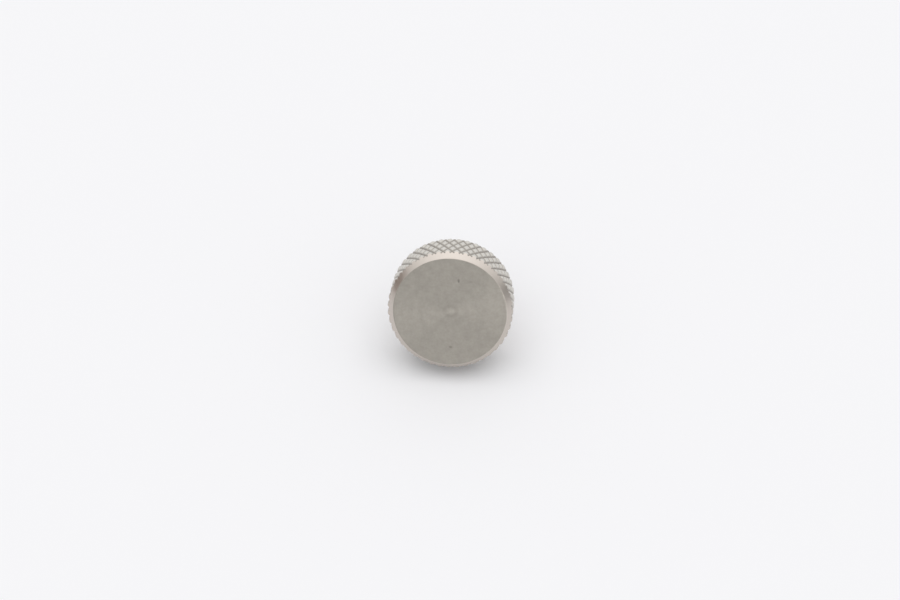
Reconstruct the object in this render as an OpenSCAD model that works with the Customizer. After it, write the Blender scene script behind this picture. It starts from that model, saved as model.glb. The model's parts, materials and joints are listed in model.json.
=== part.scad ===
// Locking screw: a knurled thumb screw turned in one piece from stainless steel bar.
// It lies as it comes to rest, on the rear edge of its knurl and the end of its thread,
// with its face towards -Y. The thread itself is drawn as its outer cylinder.

/* [Head] */
// Diameter over the tops of the knurl
head_d = 16; // [12:0.5:30]
// Thickness of the head, from its face to its seat
head_t = 6; // [4:0.5:12]
// Width of the 45 degree chamfer on each rim of the head
rim_chamfer = 0.75; // [0.4:0.05:1.2]

/* [Knurl] */
// Distance between neighbouring grooves, square to them
knurl_pitch = 1; // [0.8:0.1:1.6]
// Angle between the grooves and the axis
knurl_angle = 30; // [20:1:45]
// Width of a groove at its mouth, square to it
groove_w = 0.5; // [0.2:0.05:0.6]
// Depth of a groove
groove_depth = 0.22; // [0.1:0.02:0.3]

/* [Face] */
// Diameter of the low pip that the facing tool left in the middle of the face
pip_d = 1.3; // [0.6:0.1:2]
// Height of the pip above the face
pip_h = 0.06; // [0.03:0.01:0.2]

/* [Shank] */
// Nominal diameter of the thread
thread_d = 6; // [4:1:8]
// Length of the shank, from the seat to the tip
shank_l = 12; // [8:1:40]
// Depth of the relief groove between the seat and the thread
relief_depth = 0.8; // [0.4:0.1:1.2]
// Length of the relief groove's straight floor
relief_l = 2.2; // [2.1:0.1:4]
// Width of the 45 degree chamfer at the tip
tip_chamfer = 0.7; // [0.3:0.1:1]

/* [Hidden] */
$fn = 96;

head_r = head_d / 2;
face_r = head_r - rim_chamfer;
thread_r = thread_d / 2;
relief_r = thread_r - relief_depth;
tip_r = thread_r - tip_chamfer;
// How far one solid reaches into the next that it is united with
sink = 0.5;

// The knurl: whole diamonds round the head, and rows of them half a diamond apart
diamonds = round(PI * (head_d - groove_depth) * cos(knurl_angle) / knurl_pitch);
diamond_step = 360 / diamonds;
diamond_w = PI * head_d / diamonds;
row_step = diamond_w / tan(knurl_angle) / 2;
rows_each_way = floor(head_t / 2 / row_step) + 1;
last_row = 2 * rows_each_way;
pad_share = 1 - groove_w / (diamond_w * cos(knurl_angle));

// The rest pose: the axis leans until the thread's end meets the surface
rest_tilt = atan((head_r - thread_r) / (shank_l - tip_chamfer + rim_chamfer));
face_height = (head_t - rim_chamfer) * sin(rest_tilt) + head_r * cos(rest_tilt);
front_y = -face_r * sin(rest_tilt);
rear_y = (head_t + shank_l) * cos(rest_tilt) + tip_r * sin(rest_tilt);

// A point at radius r, at an angle a from the uppermost line at rest, at a height z along the axis
function on_turn(r, a, z) = [r * cos(a), r * sin(a), z];

// Every other row stands half a diamond round, so that grooves cross uppermost in the middle row
function row_shift(j) = (j + rows_each_way + 1) % 2;

// Angle and height of the middle of diamond i of row j
function pad_angle(i, j) = (i + row_shift(j) / 2) * diamond_step;
function row_height(j) = head_t / 2 + (j - rows_each_way) * row_step;

// The outline of a diamond's pad, from its left corner round by its upper one, as shares of its reach
PAD_OUTLINE = [[-1, 0], [-0.5, 0.5], [0, 1], [0.5, 0.5], [1, 0], [0.5, -0.5], [0, -1], [-0.5, -0.5]];
// The places of its points in that list, and of the crossing of grooves that comes after them
LEFT = 0;
UPPER_LEFT = LEFT + 1;
UPPER = UPPER_LEFT + 1;
UPPER_RIGHT = UPPER + 1;
RIGHT = UPPER_RIGHT + 1;
LOWER_RIGHT = RIGHT + 1;
LOWER = LOWER_RIGHT + 1;
LOWER_LEFT = LOWER + 1;
CROSSING = len(PAD_OUTLINE);
POINTS = CROSSING + 1;

// The points of a diamond: its pad's outline, and where the grooves cross to the right of it
function diamond_points(i, j) =
    let (a = pad_angle(i, j), z = row_height(j))
    let (side = pad_share * diamond_step / 2, rise = pad_share * row_step)
    [
        for (p = PAD_OUTLINE) on_turn(head_r, a + p.x * side, z + p.y * rise),
        on_turn(head_r - groove_depth, a + diamond_step / 2, z)
    ];
function point_index(i, j, corner) = POINTS * (j * diamonds + (i + diamonds) % diamonds) + corner;
function strip(i, j, corners) = [for (corner = corners) point_index(i, j, corner)];

// Where the grooves cross beside a corner of diamond i of row j
function beside(i, j, corner) =
    corner == RIGHT ? point_index(i, j, CROSSING) :
    corner == LEFT ? point_index(i - 1, j, CROSSING) :
    point_index(i - 1 + row_shift(j), corner == UPPER ? j + 1 : j - 1, CROSSING);

// The wall from one side of a pad, given by its ends and middle, down to the groove's floor
function wall(i, j, first, middle, last) = [
    [point_index(i, j, first), point_index(i, j, middle), beside(i, j, first)],
    [point_index(i, j, middle), point_index(i, j, last), beside(i, j, last)],
    [point_index(i, j, middle), beside(i, j, last), beside(i, j, first)]
];
function upper_walls(i, j) =
    concat(wall(i, j, RIGHT, UPPER_RIGHT, UPPER), wall(i, j, UPPER, UPPER_LEFT, LEFT));
function lower_walls(i, j) =
    concat(wall(i, j, LEFT, LOWER_LEFT, LOWER), wall(i, j, LOWER, LOWER_RIGHT, RIGHT));

// The top of a pad, in strips along the axis, of which the bar's ends show only half
function upper_half(i, j) = [
    strip(i, j, [LEFT, UPPER_LEFT, UPPER]),
    strip(i, j, [LEFT, UPPER, RIGHT]),
    strip(i, j, [UPPER, UPPER_RIGHT, RIGHT])
];
function lower_half(i, j) = [
    strip(i, j, [RIGHT, LOWER_RIGHT, LOWER]),
    strip(i, j, [LEFT, RIGHT, LOWER]),
    strip(i, j, [LOWER, LOWER_LEFT, LEFT])
];
function whole_pad(i, j) = [
    strip(i, j, [LEFT, UPPER_LEFT, LOWER_LEFT]),
    strip(i, j, [UPPER_LEFT, UPPER, LOWER, LOWER_LEFT]),
    strip(i, j, [UPPER, UPPER_RIGHT, LOWER_RIGHT, LOWER]),
    strip(i, j, [UPPER_RIGHT, RIGHT, LOWER_RIGHT])
];
function pad(i, j) =
    j == 0 ? upper_half(i, j) :
    j == last_row ? lower_half(i, j) :
    whole_pad(i, j);
function diamond_faces(i, j) = concat(
    pad(i, j),
    j < last_row ? upper_walls(i, j) : [],
    j > 0 ? lower_walls(i, j) : []
);

// The ends of the knurled bar, as outlines through pads and grooves
function bar_front() =
    [for (i = [0 : diamonds - 1], corner = [LEFT, RIGHT, CROSSING]) point_index(i, 0, corner)];
function bar_rear() =
    [for (i = [diamonds - 1 : -1 : 0], corner = [CROSSING, RIGHT, LEFT])
        point_index(i, last_row, corner)];

// A length of bar with the diamond knurl cut into it, a little longer than the head
module knurled_bar() {
    polyhedron(
        points = [for (j = [0 : last_row], i = [0 : diamonds - 1]) each diamond_points(i, j)],
        faces = concat(
            [for (j = [0 : last_row], i = [0 : diamonds - 1]) each diamond_faces(i, j)],
            [bar_front()],
            [bar_rear()]
        )
    );
}

// What the lathe leaves of the bar: flat faces and the chamfers, which run out past the knurl
module faced_blank() {
    blank_r = head_r + sink;
    taper = blank_r - face_r;
    rotate_extrude()
        polygon([
            [0, 0],
            [face_r, 0],
            [blank_r, taper],
            [blank_r, head_t - taper],
            [face_r, head_t],
            [0, head_t]
        ]);
}

module knurled_head() {
    intersection() {
        knurled_bar();
        faced_blank();
    }
}

// The pip is a low dome, whose root is sunk in the head
module facing_pip() {
    pip_r = pip_d / 2;
    dome_r = (pow(pip_r, 2) + pow(pip_h, 2)) / (2 * pip_h);
    rotate_extrude()
        intersection() {
            translate([0, dome_r - pip_h])
                circle(r = dome_r);
            translate([0, -pip_h])
                square([pip_r, pip_h + sink]);
        }
}

// Relief groove, thread and chamfered tip, as one turned profile
module shank() {
    relief_end = head_t + relief_l;
    tip = head_t + shank_l;
    rotate_extrude()
        polygon([
            [0, head_t - sink],
            [relief_r, head_t - sink],
            [relief_r, relief_end],
            [thread_r, relief_end + relief_depth],
            [thread_r, tip - tip_chamfer],
            [tip_r, tip],
            [0, tip]
        ]);
}

module locking_screw() {
    color("#9e9992")
        translate([0, -(front_y + rear_y) / 2, face_height])
            rotate([0, -90 - rest_tilt, -90])
                union() {
                    knurled_head();
                    facing_pip();
                    shank();
                }
}

locking_screw();
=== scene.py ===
"""Dresses the locking screw: a knurled stainless steel thumb screw, lying on a pale floor.

The head, its knurl, the thread and the tip are one turned piece, so they are one closed mesh. Sizes are in
millimetres and in the screw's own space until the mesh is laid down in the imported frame, in metres.
"""

from __future__ import annotations

import json
import logging
import math
from dataclasses import dataclass
from enum import Enum
from typing import Any, Callable, Iterable, Sequence, Union

import bmesh
import bpy
from mathutils import Matrix, Vector

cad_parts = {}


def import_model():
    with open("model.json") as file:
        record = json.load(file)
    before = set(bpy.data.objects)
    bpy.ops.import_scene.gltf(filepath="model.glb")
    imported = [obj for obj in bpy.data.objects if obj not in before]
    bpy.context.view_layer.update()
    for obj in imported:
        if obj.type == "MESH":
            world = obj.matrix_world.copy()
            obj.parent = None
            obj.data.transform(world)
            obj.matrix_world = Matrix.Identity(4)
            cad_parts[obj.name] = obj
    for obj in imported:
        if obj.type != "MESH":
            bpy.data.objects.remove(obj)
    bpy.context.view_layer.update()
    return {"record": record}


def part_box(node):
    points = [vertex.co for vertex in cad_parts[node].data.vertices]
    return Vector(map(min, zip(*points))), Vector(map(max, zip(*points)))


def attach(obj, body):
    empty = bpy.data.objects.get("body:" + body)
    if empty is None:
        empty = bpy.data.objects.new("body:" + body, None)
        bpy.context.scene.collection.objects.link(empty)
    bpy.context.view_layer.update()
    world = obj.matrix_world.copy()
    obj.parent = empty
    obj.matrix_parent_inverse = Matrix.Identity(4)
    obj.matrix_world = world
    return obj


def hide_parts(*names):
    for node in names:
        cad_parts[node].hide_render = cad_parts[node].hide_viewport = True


LOG = logging.getLogger("locking_screw")
NODE = "locking_screw"

# A millimetre, in metres
MM = 0.001
# Points closer than this, in millimetres, are one
WELD = 0.0005
# The attribute that says how deep in a groove a point lies
RECESS = "recess"
# Edges that turn by more than this are shaded as sharp
SHARP_ANGLE = math.radians(28.0)

Colour = tuple[float, float, float]
Operand = Union["Signal", float]
Socket = Union[str, int]


class Region(Enum):
    """The surfaces of the screw that differ in finish, with their material slots."""

    FACE = 0
    CHAMFER = 1
    KNURL = 2
    SHANK = 3


class Signal:
    """A shader socket that takes part in arithmetic, adding its Math nodes as it goes."""

    def __init__(self, graph: Graph, socket: bpy.types.NodeSocket | None) -> None:
        """Wraps an output socket of a graph, or nothing for a node without outputs."""
        self.graph = graph
        self.socket = socket

    def _math(self, operation: str, first: Operand, second: Operand) -> Signal:
        """Adds one Math node.

        Args:
            operation: The node's operation, such as "ADD".
            first: The first value or link.
            second: The second value or link.

        Returns:
            The node's result.
        """
        return self.graph.add("ShaderNodeMath", {"operation": operation}, {0: first, 1: second})

    def __add__(self, other: Operand) -> Signal:
        """Adds another value."""
        return self._math("ADD", self, other)

    __radd__ = __add__

    def __sub__(self, other: Operand) -> Signal:
        """Takes another value away."""
        return self._math("SUBTRACT", self, other)

    def __rsub__(self, other: Operand) -> Signal:
        """Is taken away from another value."""
        return self._math("SUBTRACT", other, self)

    def __mul__(self, other: Operand) -> Signal:
        """Multiplies by another value."""
        return self._math("MULTIPLY", self, other)

    __rmul__ = __mul__

    def smallest(self, other: Operand) -> Signal:
        """Gives the smaller of two values."""
        return self._math("MINIMUM", self, other)


class Graph:
    """The node tree of a material or of the world."""

    def __init__(self, owner: bpy.types.Material | bpy.types.World) -> None:
        """Empties the owner's node tree."""
        owner.use_nodes = True
        self.tree = owner.node_tree
        self.tree.nodes.clear()

    def add(
        self,
        kind: str,
        settings: dict[str, Any] | None = None,
        inputs: dict[Socket, Any] | None = None,
        output: Socket = 0,
    ) -> Signal:
        """Adds a node of any type.

        Args:
            kind: The node's type.
            settings: The node's own properties, set first.
            inputs: The values or links of its sockets, by name or place.
            output: The output socket that is wanted, by name or place.

        Returns:
            That output.
        """
        node = self.tree.nodes.new(kind)
        for name, value in (settings or {}).items():
            setattr(node, name, value)
        for name, value in (inputs or {}).items():
            if isinstance(value, Signal):
                self.tree.links.new(value.socket, node.inputs[name])
            else:
                node.inputs[name].default_value = value
        return Signal(self, node.outputs[output] if node.outputs else None)

    def grey(self, level: Signal) -> Signal:
        """Makes a grey of a level."""
        return self.add("ShaderNodeCombineColor", {}, {0: level, 1: level, 2: level})

    def smooth(self, value: Signal, start: float, end: float) -> Signal:
        """Rises smoothly from 0 to 1 between two values.

        Args:
            value: What is measured.
            start: Where the result is 0.
            end: Where the result is 1.

        Returns:
            The share between them.
        """
        return self.add(
            "ShaderNodeMapRange",
            {"interpolation_type": "SMOOTHSTEP"},
            {"Value": value, "From Min": start, "From Max": end},
        )

    def mix(self, share: Operand, first: Any, second: Any) -> Signal:
        """Mixes two colours.

        Args:
            share: How much of the second colour shows.
            first: A colour or a link.
            second: A colour or a link.

        Returns:
            The mixed colour.
        """
        return self.add(
            "ShaderNodeMix",
            {"data_type": "RGBA"},
            {0: share, 6: paint(first), 7: paint(second)},
            output=2,
        )

    def vector(self, operation: str, first: Any, second: Any, output: str = "Vector") -> Signal:
        """Adds one Vector Math node.

        Args:
            operation: The node's operation.
            first: A vector or a link.
            second: A vector or a link.
            output: "Vector" or "Value".

        Returns:
            The node's result.
        """
        return self.add("ShaderNodeVectorMath", {"operation": operation}, {0: first, 1: second}, output)

    def length(self, way: Signal) -> Signal:
        """Gives the length of a vector."""
        return self.vector("LENGTH", way, (0.0, 0.0, 0.0), "Value")

    def part(self, vector: Signal, place: int) -> Signal:
        """Gives one of a vector's three parts, by its place."""
        return self.add("ShaderNodeSeparateXYZ", {}, {0: vector}, place)


def paint(colour: Any) -> Any:
    """Gives a plain colour its alpha, and passes a link on."""
    return colour if isinstance(colour, Signal) else (*colour, 1.0)


@dataclass(frozen=True)
class Noise:
    """A cloudy pattern that runs through the whole screw.

    Attributes:
        scale: About how many of its clouds a millimetre holds.
        detail: How many finer layers it has.
    """

    scale: float
    detail: float

    def add_to(self, graph: Graph, place: Signal) -> Signal:
        """Adds the pattern to a material, as a level from 0 to 1."""
        inputs = {"Vector": place, "Scale": self.scale, "Detail": self.detail}
        return graph.add("ShaderNodeTexNoise", {}, inputs)


GRAIN = Noise(scale=3.2, detail=4.0)
CLOUD = Noise(scale=1.1, detail=4.0)
# The grain's share in the mottle, of which the clouds give the rest
GRAIN_SHARE = 0.4
# The finer layers of the tool lines
LINE_DETAIL = 2.0
# The share of a groove's depth from which the groove colour, a painted shade, is full
RECESS_FULL = 0.8
# How much the clouds and the marks change the roughness
CLOUD_ROUGHNESS = 0.12
MARK_ROUGHNESS = 0.3


@dataclass(frozen=True)
class Mark:
    """A small pit in the face, or a ring of painted shade or a spot of painted highlight on it.

    Attributes:
        across: Its place to the right of the axis, as the screw lies.
        up: Its place above the axis, along the face.
        width: Its size across.
        height: Its size upwards.
        darkness: How much darker it makes the colour, for a pit or painted shade, or below 0 how much
            lighter, for a painted highlight.
        depth: Its depth, which shows in the bump.
        core: The share of its reach within which it is at its full strength.
    """

    across: float
    up: float
    width: float
    height: float
    darkness: float
    depth: float = 0.0
    core: float = 0.3


@dataclass(frozen=True)
class SteelFinish:
    """Stainless steel with one of the finishes that turning and knurling leave on it.

    Attributes:
        name: The material's name.
        colour: The colour of what stands proud.
        painted_groove_shade: The colour deepest in the grooves; where it is darker than colour, it is
            painted shade.
        roughness: The roughness of what stands proud.
        recess_roughness: The roughness at the bottom of the grooves.
        mottle: How far the colour wanders to either side.
        line_pitch: The distance between tool lines.
        line_height: The height of the tool lines.
        grain_height: The height of the grain.
        lines_run_round: Whether the lines are rings on a face, or else turns along the axis.
        marks: The pits, and the painted shade and painted highlights at the pip.
    """

    name: str
    colour: Colour
    painted_groove_shade: Colour
    roughness: float
    recess_roughness: float
    mottle: float
    line_pitch: float
    line_height: float
    grain_height: float
    lines_run_round: bool = True
    marks: tuple[Mark, ...] = ()

    def material(self, to_screw: Matrix) -> bpy.types.Material:
        """Builds the material.

        Args:
            to_screw: The matrix from the frame, in metres, to the screw's own space, in millimetres.

        Returns:
            The finished material.
        """
        material = bpy.data.materials.new(self.name)
        graph = Graph(material)
        place = self._place(graph, to_screw)
        recess = graph.add("ShaderNodeAttribute", {"attribute_name": RECESS}, output="Fac")
        grain = GRAIN.add_to(graph, place)
        cloud = CLOUD.add_to(graph, place)
        lines = self._lines(graph, place)
        dark, pits = self._marks(graph, place)

        pattern = GRAIN_SHARE * grain + (1.0 - GRAIN_SHARE) * cloud
        tone = 1.0 - self.mottle + 2.0 * self.mottle * pattern
        # dark holds the pits' darkness and the painted shade and painted highlights at the pip
        shade = tone * (1.0 - dark)
        # Painted shade: the colour darkens towards the bottom of the grooves
        base = graph.mix(graph.smooth(recess, 0.0, RECESS_FULL), self.colour, self.painted_groove_shade)
        shown = graph.vector("MULTIPLY", base, graph.grey(shade))
        rough = self.roughness + (self.recess_roughness - self.roughness) * recess
        height = self.line_height * lines + self.grain_height * grain - pits
        bump = graph.add("ShaderNodeBump", {}, {"Strength": 1.0, "Distance": MM, "Height": height})
        shader = graph.add(
            "ShaderNodeBsdfPrincipled",
            {},
            {
                "Base Color": shown,
                "Metallic": 1.0,
                "Roughness": rough + CLOUD_ROUGHNESS * (cloud - 0.5) + MARK_ROUGHNESS * dark,
                "Normal": bump,
            },
        )
        graph.add("ShaderNodeOutputMaterial", {}, {"Surface": shader})
        return material

    @staticmethod
    def _place(graph: Graph, to_screw: Matrix) -> Signal:
        """Gives each point's place in the screw's own space.

        Args:
            graph: The material's graph.
            to_screw: The matrix from the frame to the screw's space.

        Returns:
            The place, in millimetres.
        """
        location, rotation, scale = to_screw.decompose()
        at = graph.add("ShaderNodeTexCoord", output="Object")
        return graph.add(
            "ShaderNodeMapping",
            {"vector_type": "POINT"},
            {"Vector": at, "Location": location, "Rotation": rotation.to_euler(), "Scale": scale},
        )

    def _lines(self, graph: Graph, place: Signal) -> Signal:
        """Gives the uneven tool lines: rings on a flat face, or turns along the axis.

        Args:
            graph: The material's graph.
            place: The place in the screw's space.

        Returns:
            The lines' height, from 0 to 1.
        """
        if self.lines_run_round:
            along = graph.length(graph.vector("MULTIPLY", place, (1.0, 1.0, 0.0)))
        else:
            along = graph.part(place, 2)
        return graph.add(
            "ShaderNodeTexNoise",
            {"noise_dimensions": "1D"},
            {"W": along * (1.0 / self.line_pitch), "Scale": 1.0, "Detail": LINE_DETAIL},
        )

    def _marks(self, graph: Graph, place: Signal) -> tuple[Operand, Operand]:
        """Gives the darkness and the depth of the marks: the pits, and the painted shade and painted
        highlights at the pip.

        Args:
            graph: The material's graph.
            place: The place in the screw's space.

        Returns:
            The darkness, and the depth in millimetres, which are both 0 outside the marks.
        """
        dark: Operand = 0.0
        depth: Operand = 0.0
        for mark in self.marks:
            away = graph.vector("SUBTRACT", place, (mark.across, -mark.up, 0.0))
            share = graph.vector("MULTIPLY", away, (2.0 / mark.width, 2.0 / mark.height, 0.0))
            inside = graph.smooth(graph.length(share), 1.0, mark.core)
            dark = dark + mark.darkness * inside
            if mark.depth:
                depth = depth + mark.depth * inside
        return dark, depth


# Three pits, then a ring of painted shade round the pip, a painted highlight on it and a brighter painted
# point in its middle
FACE_PITS_AND_PAINTED_LIGHT = (
    Mark(across=0.97, up=4.34, width=0.42, height=0.8, darkness=0.36, depth=0.018),
    Mark(across=0.24, up=-4.82, width=0.66, height=0.42, darkness=0.26, depth=0.013),
    Mark(across=2.55, up=4.27, width=0.6, height=0.5, darkness=0.1, depth=0.005),
    Mark(across=0.05, up=0.12, width=2.6, height=2.3, darkness=0.13, core=0.4),
    Mark(across=0.05, up=0.14, width=1.9, height=1.5, darkness=-0.22, core=0.3),
    Mark(across=0.05, up=0.0, width=0.5, height=0.45, darkness=-0.1, core=0.1),
)

FINISHES: dict[Region, SteelFinish] = {
    Region.FACE: SteelFinish(
        name="faced_steel",
        colour=(0.363, 0.34, 0.302),
        painted_groove_shade=(0.363, 0.34, 0.302),
        roughness=0.36,
        recess_roughness=0.36,
        mottle=0.26,
        line_pitch=0.035,
        line_height=0.01,
        grain_height=0.004,
        marks=FACE_PITS_AND_PAINTED_LIGHT,
    ),
    Region.CHAMFER: SteelFinish(
        name="chamfer_steel",
        colour=(0.577, 0.526, 0.479),
        painted_groove_shade=(0.577, 0.526, 0.479),
        roughness=0.3,
        recess_roughness=0.3,
        mottle=0.04,
        line_pitch=0.05,
        line_height=0.002,
        grain_height=0.002,
    ),
    Region.KNURL: SteelFinish(
        name="knurled_steel",
        colour=(0.62, 0.6, 0.557),
        # Painted shade: darker in the knurl's grooves
        painted_groove_shade=(0.36, 0.335, 0.305),
        roughness=0.34,
        recess_roughness=0.55,
        mottle=0.06,
        line_pitch=0.08,
        line_height=0.002,
        grain_height=0.004,
        lines_run_round=False,
    ),
    Region.SHANK: SteelFinish(
        name="threaded_steel",
        colour=(0.60, 0.575, 0.54),
        # Painted shade: darker in the thread's roots
        painted_groove_shade=(0.44, 0.415, 0.385),
        roughness=0.3,
        recess_roughness=0.45,
        mottle=0.05,
        line_pitch=0.07,
        line_height=0.002,
        grain_height=0.003,
        lines_run_round=False,
    ),
}


def everything(bm: bmesh.types.BMesh) -> list[Any]:
    """Lists all vertices, edges and faces of a mesh."""
    return [*bm.verts, *bm.edges, *bm.faces]


def weld(bm: bmesh.types.BMesh) -> None:
    """Merges vertices that lie on each other."""
    bmesh.ops.remove_doubles(bm, verts=bm.verts[:], dist=WELD)


def repeat(bm: bmesh.types.BMesh, times: int, step: Sequence[float], sweep: bool = False) -> None:
    """Copies all that is there a number of times, a step apart.

    Args:
        bm: The mesh.
        times: How many copies follow.
        step: The way from one copy to the next.
        sweep: Whether faces join the copies, as when a profile is swept.
    """
    bmesh.ops.spin(
        bm,
        geom=everything(bm),
        axis=(0.0, 0.0, 1.0),
        cent=(0.0, 0.0, 0.0),
        dvec=step,
        angle=0.0,
        steps=times,
        use_duplicate=not sweep,
    )


def round_off(bm: bmesh.types.BMesh, edges: list[bmesh.types.BMEdge], offset: float) -> None:
    """Rounds edges, in two steps each.

    Args:
        bm: The mesh.
        edges: The edges.
        offset: How far from the edge the rounding starts.
    """
    bmesh.ops.bevel(
        bm, geom=edges, offset=offset, segments=2, profile=0.5, affect="EDGES", material=-1
    )


def wrap(bm: bmesh.types.BMesh, radius: float) -> None:
    """Bends a flat strip round the screw's axis and closes its seam.

    Args:
        bm: The strip, with its length along X, the axis along Y and its height along Z.
        radius: The radius at which the strip's height is 0.
    """
    for vert in bm.verts:
        angle = vert.co.x / radius
        reach = radius + vert.co.z
        vert.co = (reach * math.sin(angle), -reach * math.cos(angle), vert.co.y)
    weld(bm)


def mark_recess(bm: bmesh.types.BMesh, depth: float) -> None:
    """Stores how deep each vertex of a flat strip lies, as a share of its grooves' depth.

    Args:
        bm: The strip.
        depth: The grooves' depth.
    """
    layer = bm.verts.layers.float.new(RECESS)
    for vert in bm.verts:
        vert[layer] = min(1.0, max(0.0, -vert.co.z / depth))


def cut_off(bm: bmesh.types.BMesh, edge: float, way: float, lean: float) -> None:
    """Cuts off what lies beyond a plane of a flat strip, which bends to a cone or to a flat end.

    Args:
        bm: The strip.
        edge: The place along Y at which the plane meets the strip's top.
        way: 1 to cut off what lies further along Y, and -1 for what lies before.
        lean: 1 for a cone of 45 degrees, and 0 for a flat end.
    """
    bmesh.ops.bisect_plane(
        bm,
        geom=everything(bm),
        dist=WELD,
        plane_co=(0.0, edge, 0.0),
        plane_no=(0.0, way, lean),
        clear_outer=True,
    )


def open_edges(bm: bmesh.types.BMesh, near: Callable[[float], bool]) -> list[bmesh.types.BMEdge]:
    """Finds the edges of an open end.

    Args:
        bm: The mesh.
        near: Says whether a place along the axis is at that end.

    Returns:
        The end's edges.
    """
    return [e for e in bm.edges if e.is_boundary and near(e.verts[0].co.z)]


def turn_on(
    bm: bmesh.types.BMesh,
    edges: list[bmesh.types.BMEdge],
    radius: float,
    depth: float,
    region: Region,
) -> list[bmesh.types.BMEdge]:
    """Carries an open end on to a circle, as turning does.

    Args:
        bm: The mesh.
        edges: The end's edges.
        radius: The circle's radius.
        depth: The circle's place along the axis.
        region: The finish of the new faces.

    Returns:
        The new end's edges.
    """
    recess = bm.verts.layers.float[RECESS]
    made = bmesh.ops.extrude_edge_only(bm, edges=edges)["geom"]
    for item in made:
        if isinstance(item, bmesh.types.BMVert):
            out = Vector((item.co.x, item.co.y, 0.0)).normalized() * radius
            item.co = (out.x, out.y, depth)
            item[recess] = 0.0
        elif isinstance(item, bmesh.types.BMFace):
            item.material_index = region.value
    return [e for e in made if isinstance(e, bmesh.types.BMEdge) and e.is_boundary]


def close_on_axis(
    bm: bmesh.types.BMesh, edges: list[bmesh.types.BMEdge], depth: float, region: Region
) -> None:
    """Closes an open end with faces that meet on the axis.

    Args:
        bm: The mesh.
        edges: The end's edges.
        depth: The place of the closing point along the axis.
        region: The finish of the new faces.
    """
    last = turn_on(bm, edges, WELD, depth, region)
    verts = list({v for e in last for v in e.verts})
    bmesh.ops.pointmerge(bm, verts=verts, merge_co=(0.0, 0.0, depth))


@dataclass(frozen=True)
class KnurledHead:
    """The head: a diamond knurl between two chamfers, a flat face with a low pip, and a flat seat."""

    diameter: float
    thickness: float = 6.0
    chamfer: float = 0.75
    grooves: int = 43
    groove_angle: float = math.radians(30.0)
    groove_width: float = 0.5
    groove_depth: float = 0.22
    pad_round: float = 0.1
    pip_diameter: float = 1.3
    pip_height: float = 0.016
    pip_rings: int = 5
    pip_fall: float = 1.5
    flat_margin: float = 0.2

    @property
    def radius(self) -> float:
        """Gives the radius over the pads."""
        return self.diameter / 2.0

    @property
    def face_radius(self) -> float:
        """Gives the radius of the flat face and of the seat."""
        return self.radius - self.chamfer

    @property
    def diamond_width(self) -> float:
        """Gives the width of a diamond round the head."""
        return math.tau * self.radius / self.grooves

    @property
    def row_step(self) -> float:
        """Gives the distance between rows of diamonds along the axis."""
        return self.diamond_width / math.tan(self.groove_angle) / 2.0

    def build(self, opening: float) -> bmesh.types.BMesh:
        """Models the head, with its seat open for the neck.

        Args:
            opening: The radius of the opening.

        Returns:
            The mesh, in the screw's own space.
        """
        bm = bmesh.new()
        self._diamond(bm)
        self._tile(bm)
        mark_recess(bm, self.groove_depth)
        cut_off(bm, self.chamfer, way=-1.0, lean=1.0)
        cut_off(bm, self.thickness - self.chamfer, way=1.0, lean=1.0)
        wrap(bm, self.radius)
        self._turn_front(bm)
        self._turn_rear(bm, opening)
        return bm

    def _diamond(self, bm: bmesh.types.BMesh) -> None:
        """Makes one flat-topped diamond with its half of the grooves round it."""
        made = bmesh.ops.create_circle(bm, cap_ends=True, radius=1.0, segments=4)
        corners = made["verts"]
        bmesh.ops.scale(bm, vec=(self.diamond_width / 2.0, self.row_step, 1.0), verts=corners)
        pad = bm.faces[:]
        bmesh.ops.inset_individual(bm, faces=pad, thickness=self.groove_width / 2.0, use_even_offset=True)
        rim = [v for v in bm.verts if v.is_boundary]
        bmesh.ops.translate(bm, vec=(0.0, 0.0, -self.groove_depth), verts=rim)
        crest = [e for e in bm.edges if not any(v.is_boundary for v in e.verts)]
        round_off(bm, crest, self.pad_round)
        for face in bm.faces:
            face.material_index = Region.KNURL.value

    def _tile(self, bm: bmesh.types.BMesh) -> None:
        """Repeats the diamond over the whole strip, with grooves that cross uppermost half-way along."""
        rows = math.ceil(self.thickness / 2.0 / self.row_step)
        across = (self.diamond_width, 0.0, 0.0)
        shift = (self.diamond_width / 2.0, self.row_step, 0.0)
        repeat(bm, 1, shift)
        repeat(bm, self.grooves - 1, across)
        repeat(bm, rows, (0.0, 2.0 * self.row_step, 0.0))
        lift = self.thickness / 2.0 - 2.0 * self.row_step * math.ceil(rows / 2.0)
        bmesh.ops.translate(bm, vec=(self.diamond_width / 2.0, lift, 0.0), verts=bm.verts[:])
        weld(bm)

    def _turn_front(self, bm: bmesh.types.BMesh) -> None:
        """Adds the front chamfer, the flat face and the pip's dome."""
        middle = self.thickness / 2.0
        rim = open_edges(bm, lambda depth: depth < middle)
        rim = turn_on(bm, rim, self.face_radius, 0.0, Region.CHAMFER)
        pip_radius = self.pip_diameter / 2.0
        rim = turn_on(bm, rim, self.face_radius - self.flat_margin, 0.0, Region.FACE)
        rim = turn_on(bm, rim, pip_radius + self.flat_margin, 0.0, Region.FACE)
        for ring in range(self.pip_rings):
            share = 1.0 - ring / self.pip_rings
            height = self.pip_height * (1.0 - share**2) ** self.pip_fall
            rim = turn_on(bm, rim, pip_radius * share, -height, Region.FACE)
        close_on_axis(bm, rim, -self.pip_height, Region.FACE)

    def _turn_rear(self, bm: bmesh.types.BMesh, opening: float) -> None:
        """Adds the rear chamfer and the seat, in to its opening.

        Args:
            bm: The mesh.
            opening: The radius of the opening.
        """
        middle = self.thickness / 2.0
        rim = open_edges(bm, lambda depth: depth > middle)
        rim = turn_on(bm, rim, self.face_radius, self.thickness, Region.CHAMFER)
        rim = turn_on(bm, rim, self.face_radius - self.flat_margin, self.thickness, Region.CHAMFER)
        turn_on(bm, rim, opening, self.thickness, Region.CHAMFER)


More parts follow.
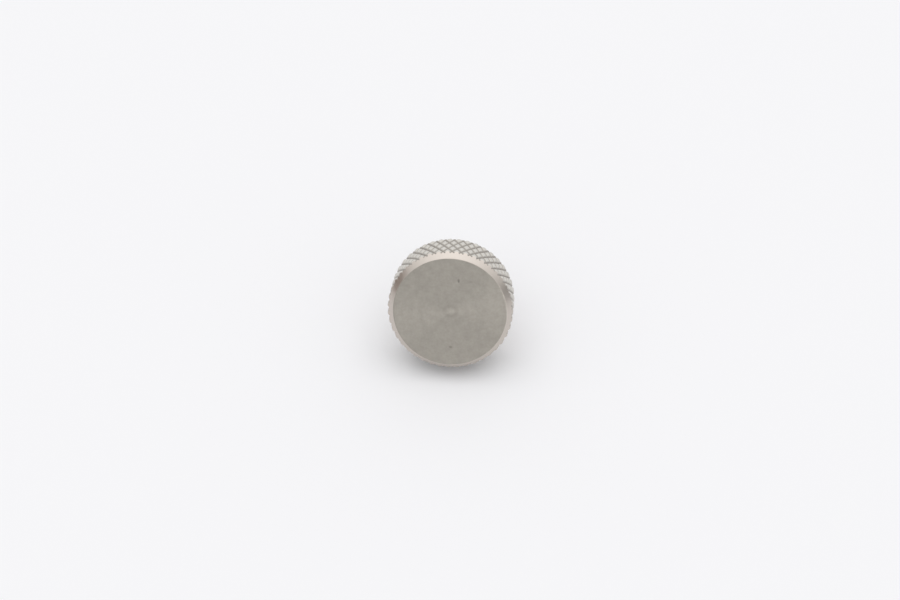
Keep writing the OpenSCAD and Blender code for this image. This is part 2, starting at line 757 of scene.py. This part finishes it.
@dataclass(frozen=True)
class ThreadedShank:
    """The shank: a relief groove under the head, a metric thread and a chamfered tip."""

    radius: float
    seat: float
    thread_length: float
    pitch: float = 1.0
    relief_depth: float = 0.8
    relief_length: float = 2.2
    root_fillet: float = 0.2
    tip_chamfer: float = 0.7
    crest_share: float = 1.0 / 8.0
    flank_angle: float = math.radians(30.0)
    depth_share: float = 0.6134
    steps_per_turn: int = 72

    @property
    def relief_radius(self) -> float:
        """Gives the radius of the relief groove's floor."""
        return self.radius - self.relief_depth

    @property
    def groove_depth(self) -> float:
        """Gives the depth of the thread's groove."""
        return self.depth_share * self.pitch

    @property
    def tip(self) -> float:
        """Gives the place of the tip along the axis."""
        return self.seat + self.relief_length + self.relief_depth + self.thread_length + self.tip_chamfer

    def build(self) -> bmesh.types.BMesh:
        """Models the shank, open at the seat.

        Returns:
            The mesh, in the screw's own space.
        """
        bm = bmesh.new()
        self._sweep_turns(bm)
        mark_recess(bm, self.groove_depth)
        relief_end = self.seat + self.relief_length
        cut_off(bm, relief_end + self.relief_depth, way=-1.0, lean=0.0)
        cut_off(bm, self.tip - self.tip_chamfer, way=1.0, lean=0.0)
        wrap(bm, self.radius)
        for face in bm.faces:
            face.material_index = Region.SHANK.value
        middle = (self.seat + self.tip) / 2.0
        neck = open_edges(bm, lambda depth: depth < middle)
        neck = turn_on(bm, neck, self.relief_radius, relief_end, Region.SHANK)
        turn_on(bm, neck, self.relief_radius, self.seat + self.root_fillet, Region.SHANK)
        end = open_edges(bm, lambda depth: depth > middle)
        end = turn_on(bm, end, self.radius - self.tip_chamfer, self.tip, Region.SHANK)
        close_on_axis(bm, end, self.tip, Region.SHANK)
        return bm

    def _sweep_turns(self, bm: bmesh.types.BMesh) -> None:
        """Sweeps the profile of all turns once round the shank, a pitch further on at the end."""
        crest = self.crest_share * self.pitch
        flank = self.groove_depth * math.tan(self.flank_angle)
        profile = (
            (0.0, 0.0),
            (crest, 0.0),
            (crest + flank, -self.groove_depth),
            (self.pitch - flank, -self.groove_depth),
            (self.pitch, 0.0),
        )
        points = [bm.verts.new((0.0, self.seat + y, z)) for y, z in profile]
        for first, second in zip(points, points[1:]):
            bm.edges.new((first, second))
        turns = math.ceil((self.tip - self.seat) / self.pitch) + 1
        repeat(bm, turns, (0.0, self.pitch, 0.0))
        weld(bm)
        bmesh.ops.translate(bm, vec=(0.0, -self.pitch, 0.0), verts=bm.verts[:])
        step = (math.tau * self.radius / self.steps_per_turn, self.pitch / self.steps_per_turn, 0.0)
        repeat(bm, self.steps_per_turn, step, sweep=True)


@dataclass(frozen=True)
class LockingScrew:
    """The whole screw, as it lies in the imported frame."""

    head: KnurledHead
    shank: ThreadedShank
    to_frame: Matrix
    edge_round: float = 0.05

    @classmethod
    def from_frame(cls, record: dict[str, Any]) -> LockingScrew:
        """Takes the screw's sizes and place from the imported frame.

        Args:
            record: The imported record, whose mounts give the axis, the thread and the seat.

        Returns:
            The screw, ready to build.
        """
        mounts = {m["name"]: m for m in record["mounts"]}
        axis = Vector(mounts["thread"]["axis"]).normalized()
        on_axis = Vector(mounts["thread"]["pos_m"])
        seat_point = Vector(mounts["seat"]["pos_m"])
        seat = on_axis + axis * (seat_point - on_axis).dot(axis)
        low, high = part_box(NODE)
        head = KnurledHead(diameter=(high.x - low.x) / MM)
        thread = mounts["thread"]["dims"]
        shank = ThreadedShank(
            radius=thread["r_mm"], seat=head.thickness, thread_length=thread["length_mm"]
        )
        face = seat - axis * head.thickness * MM
        across = Vector((1.0, 0.0, 0.0))
        down = axis.cross(across)
        turn = Matrix((across, down, axis)).transposed().to_4x4()
        return cls(head, shank, Matrix.Translation(face) @ turn @ Matrix.Scale(MM, 4))

    def build(self) -> bpy.types.Object:
        """Models the screw as one closed mesh, dresses it and lets it ride on the frame.

        Returns:
            The finished piece.
        """
        bm = self.head.build(self.shank.relief_radius + self.shank.root_fillet)
        self._join(bm, self.shank.build())
        rims = [e for e in bm.edges if e.is_boundary]
        made = bmesh.ops.bridge_loops(bm, edges=rims)
        for face in made["faces"]:
            face.material_index = Region.CHAMFER.value
        self._round_edges(bm)
        bmesh.ops.recalc_face_normals(bm, faces=bm.faces[:])
        bmesh.ops.transform(bm, matrix=self.to_frame, verts=bm.verts[:])
        mesh = bpy.data.meshes.new("turned_screw")
        bm.to_mesh(mesh)
        bm.free()
        return self._dress(mesh)

    @staticmethod
    def _join(bm: bmesh.types.BMesh, other: bmesh.types.BMesh) -> None:
        """Adds another mesh to a mesh, and frees it."""
        carrier = bpy.data.meshes.new("carrier")
        other.to_mesh(carrier)
        other.free()
        bm.from_mesh(carrier)
        bpy.data.meshes.remove(carrier)

    def _round_edges(self, bm: bmesh.types.BMesh) -> None:
        """Breaks the sharp turned edges of the face, the seat and the tip."""
        circles = (
            (self.head.face_radius, 0.0),
            (self.head.face_radius, self.head.thickness),
            (self.shank.radius - self.shank.tip_chamfer, self.shank.tip),
        )
        edges = [e for e in bm.edges if any(self._lies_on(e, *circle) for circle in circles)]
        round_off(bm, edges, self.edge_round)

    @staticmethod
    def _lies_on(edge: bmesh.types.BMEdge, radius: float, depth: float) -> bool:
        """Says whether an edge lies on a circle round the axis."""
        return all(abs(v.co.xy.length - radius) < WELD and abs(v.co.z - depth) < WELD for v in edge.verts)

    def _dress(self, mesh: bpy.types.Mesh) -> bpy.types.Object:
        """Gives the mesh its materials and its place in the frame.

        Args:
            mesh: The finished mesh.

        Returns:
            The piece.
        """
        to_screw = self.to_frame.inverted()
        for region in Region:
            mesh.materials.append(FINISHES[region].material(to_screw))
        for polygon in mesh.polygons:
            polygon.use_smooth = True
        mesh.set_sharp_from_angle(angle=SHARP_ANGLE)
        piece = bpy.data.objects.new("turned_screw", mesh)
        bpy.context.scene.collection.objects.link(piece)
        weighted = piece.modifiers.new("flat_faces", "WEIGHTED_NORMAL")
        weighted.keep_sharp = True
        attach(piece, "root")
        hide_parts(NODE)
        return piece


@dataclass(frozen=True)
class Softbox:
    """A square lamp that hangs over the screw and lights the floor softly, unseen in the metal.

    Attributes:
        name: The lamp's name.
        spread: The angle that it fills, as seen from the screw.
        strength: The light on the floor below if the lamp were small, as a share of full white.
        distance: Its height above the floor, in metres.
    """

    name: str
    spread: float
    strength: float
    distance: float = 2.0

    def build(self) -> bpy.types.Object:
        """Hangs the lamp over the screw.

        Returns:
            The lamp.
        """
        light = bpy.data.lights.new(self.name, "AREA")
        light.shape = "SQUARE"
        light.size = 2.0 * self.distance * math.tan(self.spread / 2.0)
        light.energy = self.strength * math.pi**2 * self.distance**2
        lamp = bpy.data.objects.new(self.name, light)
        lamp.matrix_world = Matrix.Translation((0.0, 0.0, self.distance))
        lamp.visible_glossy = False
        bpy.context.scene.collection.objects.link(lamp)
        return lamp


@dataclass(frozen=True)
class Patch:
    """A soft-edged darker or lighter part of the surroundings, which the metal mirrors.

    Attributes:
        towards: The way from the screw to its middle.
        colour: Its colour.
        inner: The angle from its middle, in degrees, within which it is even.
        outer: The angle at which it has faded out.
    """

    towards: tuple[float, float, float]
    colour: Colour
    inner: float
    outer: float


def even_grey(level: float) -> Colour:
    """Makes a grey of a plain number."""
    return (level, level, level)


# Dark on both sides, dim in front, and bright to the right and to the left of the front
SURROUNDINGS = (
    Patch(towards=(-0.993, -0.08, 0.092), colour=(0.25, 0.185, 0.155), inner=7.0, outer=25.0),
    Patch(towards=(0.983, -0.171, 0.068), colour=(0.25, 0.25, 0.24), inner=5.0, outer=17.0),
    Patch(towards=(0.0, -0.985, 0.17), colour=even_grey(0.64), inner=15.0, outer=40.0),
    Patch(towards=(0.5, -0.86, 0.05), colour=even_grey(3.7), inner=8.0, outer=22.0),
    Patch(towards=(-0.52, -0.85, 0.05), colour=even_grey(1.3), inner=8.0, outer=22.0),
)


@dataclass(frozen=True)
class Studio:
    """The pale floor, the soft light and the camera at the photograph's viewing angle.

    Attributes:
        target: The middle of the screw's face, which lands on target_pixel.
        floor_colour: The floor's colour.
        floor_reach: How far the floor reaches to each side, in metres.
        floor_roughness: The floor's roughness.
        ambient: The even light from all round.
        softbox: The lamp overhead.
        front_level: What the metal mirrors of the side towards the camera.
        wall_gain: How much brighter the rear wall is.
        wall_turn: How far to the front and to the rear the wall goes on brightening.
        ceiling_gain: How fast the surroundings brighten upwards.
        patches: What stands out in the surroundings.
        azimuth: The camera's angle round the screw, from the front.
        elevation: The camera's angle above the floor.
        distance: The camera's distance from the target, in metres.
        lens: The focal length.
        sensor: The sensor's width.
        clip_start: The nearest distance that the camera shows, in metres.
        image: The picture's size in pixels.
        target_pixel: The target's place in the picture.
    """

    target: Vector
    floor_colour: Colour = (0.913, 0.912, 0.929)
    floor_reach: float = 4.0
    floor_roughness: float = 0.9
    ambient: float = 0.755
    softbox: Softbox = Softbox("overhead_softbox", spread=math.radians(60.0), strength=0.375)
    front_level: float = 0.3
    wall_gain: float = 0.85
    wall_turn: float = 0.6
    ceiling_gain: float = 0.6
    patches: tuple[Patch, ...] = SURROUNDINGS

    azimuth: float = math.radians(4.506)
    elevation: float = math.radians(45.134)
    distance: float = 0.235
    lens: float = 74.08
    sensor: float = 36.0
    clip_start: float = 0.01
    image: tuple[int, int] = (900, 600)
    target_pixel: tuple[float, float] = (449.78, 312.14)

    def build(self) -> None:
        """Sets up floor, lamp, world and camera."""
        self._floor()
        self.softbox.build()
        self._world()
        self._camera()
        bpy.context.scene.view_settings.view_transform = "Standard"

    def _floor(self) -> None:
        """Lays the pale floor."""
        bm = bmesh.new()
        bmesh.ops.create_grid(bm, x_segments=1, y_segments=1, size=self.floor_reach)
        mesh = bpy.data.meshes.new("floor")
        bm.to_mesh(mesh)
        bm.free()
        material = bpy.data.materials.new("pale_floor")
        graph = Graph(material)
        shader = graph.add(
            "ShaderNodeBsdfPrincipled",
            {},
            {
                "Base Color": paint(self.floor_colour),
                "Roughness": self.floor_roughness,
                "Specular IOR Level": 0.0,
            },
        )
        graph.add("ShaderNodeOutputMaterial", {}, {"Surface": shader})
        mesh.materials.append(material)
        floor = bpy.data.objects.new("floor", mesh)
        bpy.context.scene.collection.objects.link(floor)

    def _world(self) -> None:
        """Makes the surroundings: a bright ceiling and rear wall, and a darker side towards the camera."""
        world = bpy.data.worlds.new("studio")
        bpy.context.scene.world = world
        graph = Graph(world)
        towards = graph.add("ShaderNodeTexCoord", output="Generated")
        rear = graph.part(towards, 1)
        up = graph.part(towards, 2)
        wall = graph.smooth(rear, -self.wall_turn, self.wall_turn) * (1.0 - up)
        level = self.front_level + self.wall_gain * wall + self.ceiling_gain * (up + up * up)
        colour = graph.grey(level)
        for patch in self.patches:
            along = graph.vector("DOT_PRODUCT", towards, Vector(patch.towards).normalized(), "Value")
            edge, core = (math.cos(math.radians(angle)) for angle in (patch.outer, patch.inner))
            colour = graph.mix(graph.smooth(along, edge, core), colour, patch.colour)
        rays = [
            graph.add("ShaderNodeLightPath", output=name)
            for name in ("Is Camera Ray", "Is Glossy Ray", "Is Transmission Ray")
        ]
        seen = (rays[0] + rays[1] + rays[2]).smallest(1.0)
        white = paint(even_grey(1.0))
        even = graph.add("ShaderNodeBackground", {}, {"Color": white, "Strength": self.ambient})
        studio = graph.add("ShaderNodeBackground", {}, {"Color": colour})
        both = graph.add("ShaderNodeMixShader", {}, {0: seen, 1: even, 2: studio})
        graph.add("ShaderNodeOutputWorld", {}, {"Surface": both})

    def _camera(self) -> None:
        """Places the camera so that the middle of the face lands on its pixel."""
        away = Vector(
            (
                math.sin(self.azimuth) * math.cos(self.elevation),
                -math.cos(self.azimuth) * math.cos(self.elevation),
                math.sin(self.elevation),
            )
        )
        focal = self.lens / self.sensor * self.image[0]
        right = (self.target_pixel[0] - self.image[0] / 2.0) / focal
        down = (self.target_pixel[1] - self.image[1] / 2.0) / focal
        level = away.to_track_quat("Z", "Y").to_matrix()
        aim = level @ Vector((right, -down, -1.0)).normalized()
        correction = aim.rotation_difference(-away)
        camera_data = bpy.data.cameras.new("camera")
        camera_data.lens = self.lens
        camera_data.sensor_width = self.sensor
        camera_data.clip_start = self.clip_start
        camera = bpy.data.objects.new("camera", camera_data)
        camera.matrix_world = (
            Matrix.Translation(self.target + away * self.distance)
            @ (correction.to_matrix() @ level).to_4x4()
        )
        bpy.context.scene.collection.objects.link(camera)
        bpy.context.scene.camera = camera


def main() -> None:
    """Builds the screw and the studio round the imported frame."""
    logging.basicConfig(level=logging.INFO, format="%(name)s: %(message)s")
    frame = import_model()
    screw = LockingScrew.from_frame(frame["record"])
    piece = screw.build()
    LOG.info("%s: %d faces, riding on root", piece.name, len(piece.data.polygons))
    Studio(target=screw.to_frame.translation.copy()).build()
    LOG.info("studio: floor, lamp, world and camera")


if __name__ == "__main__":
    main()
